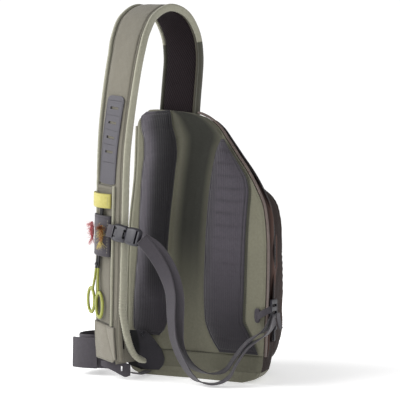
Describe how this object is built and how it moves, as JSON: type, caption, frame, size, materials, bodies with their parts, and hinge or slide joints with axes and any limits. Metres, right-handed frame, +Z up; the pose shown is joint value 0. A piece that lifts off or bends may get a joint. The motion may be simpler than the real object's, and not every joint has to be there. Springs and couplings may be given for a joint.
{
  "type": "fishing tackle sling bag",
  "caption": "Single-strap fishing sling bag in sage and brown cloth with padded back panel, wide shoulder strap, forceps, flies, side release buckle and narrow adjuster webbing.",
  "frame": {"origin": "bottom centre of the box round the bag, on the floor it stands on", "axes": "+X to the right seen from the padded back panel, +Y from the back panel towards the front pocket, +Z up towards the strap arch"},
  "size_m": [0.35, 0.3048, 0.6229],
  "materials": {
    "brown_cloth": "coated woven nylon, dark brown",
    "olive_cloth": "woven nylon, olive sage",
    "sage_cloth": "woven nylon, light sage",
    "pad_mesh": "ribbed moulded mesh, dark grey purple",
    "lining_mesh": "diagonal spacer mesh, near black",
    "grey_webbing": "woven nylon webbing, grey",
    "grey_laminate": "laser cut laminate, grey",
    "black_cloth": "woven nylon, black",
    "lime_webbing": "woven tape, pale lime",
    "grey_plastic": "moulded acetal, satin grey",
    "lime_enamel": "powder coated lime",
    "dark_metal": "dark coated steel",
    "red_feather": "tied feather and thread, red",
    "orange_feather": "tied feather and thread, orange brown"
  },
  "bodies": {
    "root": {"main_shell": "brown_cloth", "base_panel": "olive_cloth", "back_panel": "olive_cloth", "pad_left": "pad_mesh", "pad_right": "pad_mesh", "front_pocket": "brown_cloth", "piping_left": "sage_cloth", "piping_right": "sage_cloth", "main_zip": "black_cloth", "pocket_zip": "black_cloth", "main_pull": "grey_plastic", "pocket_pull": "grey_plastic", "strap_body": "sage_cloth", "strap_lining": "lining_mesh", "strap_binding_left": "sage_cloth", "strap_binding_right": "sage_cloth", "daisy_tab": "grey_laminate", "tool_panel": "sage_cloth", "tool_ridge": "sage_cloth", "lime_tab": "lime_webbing", "fly_patch": "grey_webbing", "strap_boot": "sage_cloth", "strap_tongue": "sage_cloth", "waist_webbing": "grey_webbing", "webbing_tail": "grey_webbing", "adjuster_web_front": "grey_webbing", "adjuster_web_rear": "grey_webbing", "wing": "black_cloth", "eyelet": "dark_metal", "boot_tab": "grey_webbing", "base_web": "grey_webbing", "anchor_loop": "grey_webbing", "anchor_tail": "grey_webbing", "buckle_stub": "grey_webbing", "buckle_female": "grey_plastic", "buckle_male": "grey_plastic", "ladder_lock": "grey_plastic", "forceps_arm_left": "lime_enamel", "forceps_arm_right": "lime_enamel", "forceps_screw": "dark_metal", "fly_red": "red_feather", "fly_orange": "orange_feather"}
  },
  "joints": []
}
